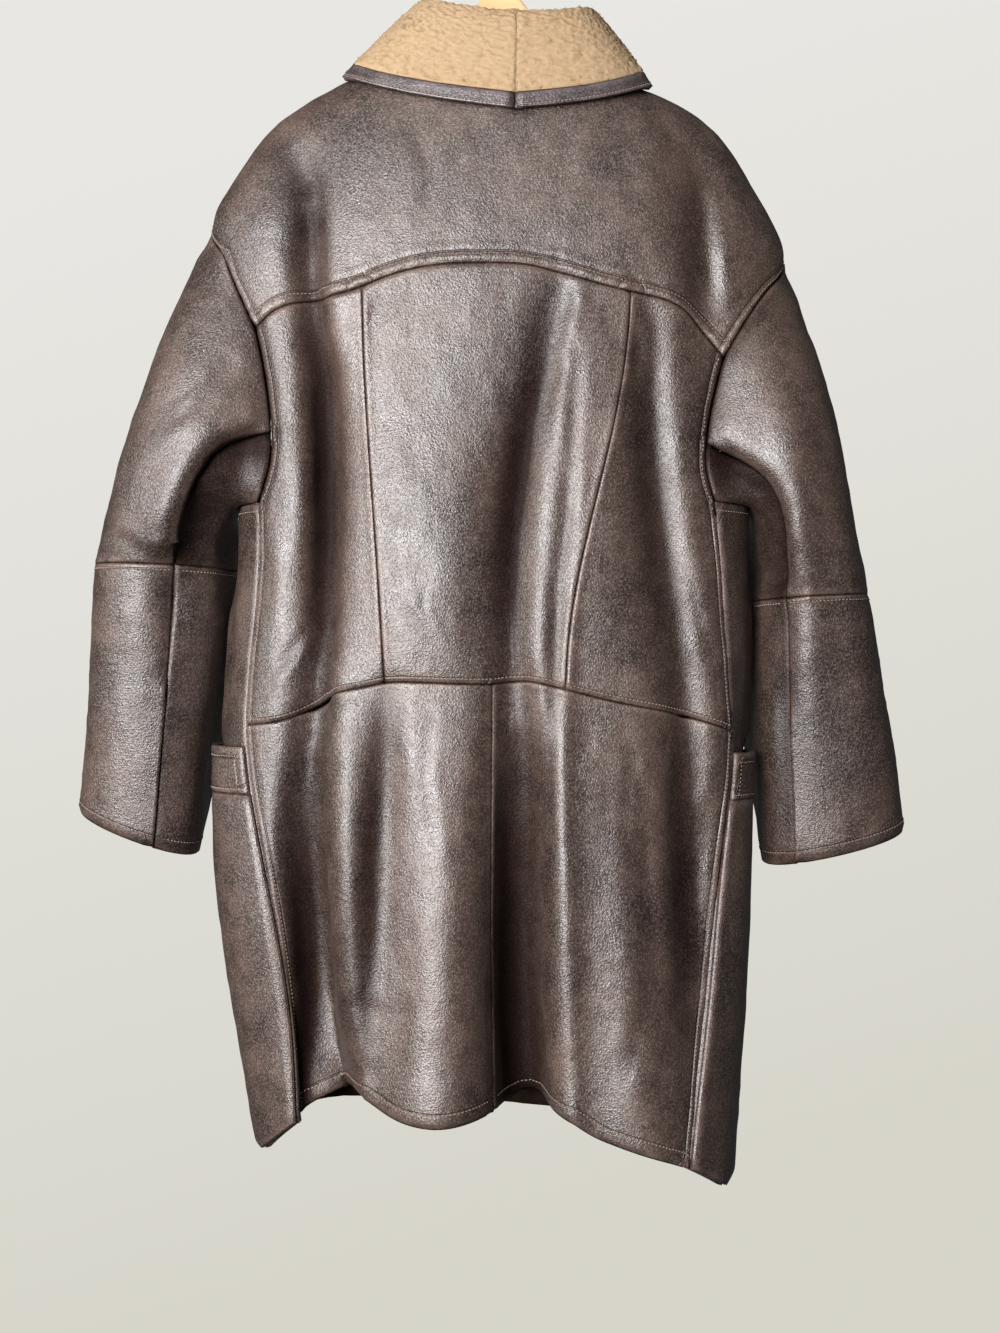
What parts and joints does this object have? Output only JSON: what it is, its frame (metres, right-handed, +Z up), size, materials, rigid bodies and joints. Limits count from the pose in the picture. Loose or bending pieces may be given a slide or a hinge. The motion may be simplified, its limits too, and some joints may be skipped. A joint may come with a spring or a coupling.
{
  "type": "shearling coat on a hanger",
  "caption": "Leather shearling coat with a rolled wool collar, hanging from a wooden hanger with a wire hook and seen from its back.",
  "frame": {"origin": "seat of the hanger's hook: the underside of its arch, where it rests on a rail", "axes": "+Z up, -Y out of the coat's back, +X towards the wearer's right"},
  "size_m": [0.83, 0.231, 1.2266],
  "materials": {
    "leather": "satin, dark brown, fine grain",
    "edging": "satin, dark brown",
    "wool": "curly pile, beige",
    "wood": "clear satin varnish",
    "steel": "bright wire",
    "button": "semi-matt"
  },
  "bodies": {
    "root": {"back_yoke": "leather", "back_side_left": "leather", "back_middle": "leather", "back_side_right": "leather", "back_skirt_left": "leather", "back_skirt_right": "leather", "front_left": "leather", "front_right": "leather", "pocket_left": "leather", "pocket_right": "leather", "pocket_band_left": "leather", "pocket_band_right": "leather", "sleeve_upper_top_left": "leather", "sleeve_upper_under_left": "leather", "sleeve_lower_top_left": "leather", "sleeve_lower_under_left": "leather", "sleeve_upper_top_right": "leather", "sleeve_upper_under_right": "leather", "sleeve_lower_top_right": "leather", "sleeve_lower_under_right": "leather", "collar_left": "wool", "collar_right": "wool", "collar_edging_left": "edging", "collar_edging_right": "edging", "button_1": "button", "button_2": "button", "button_3": "button", "button_4": "button", "hanger_bar": "wood", "hanger_hook": "steel"}
  },
  "joints": []
}
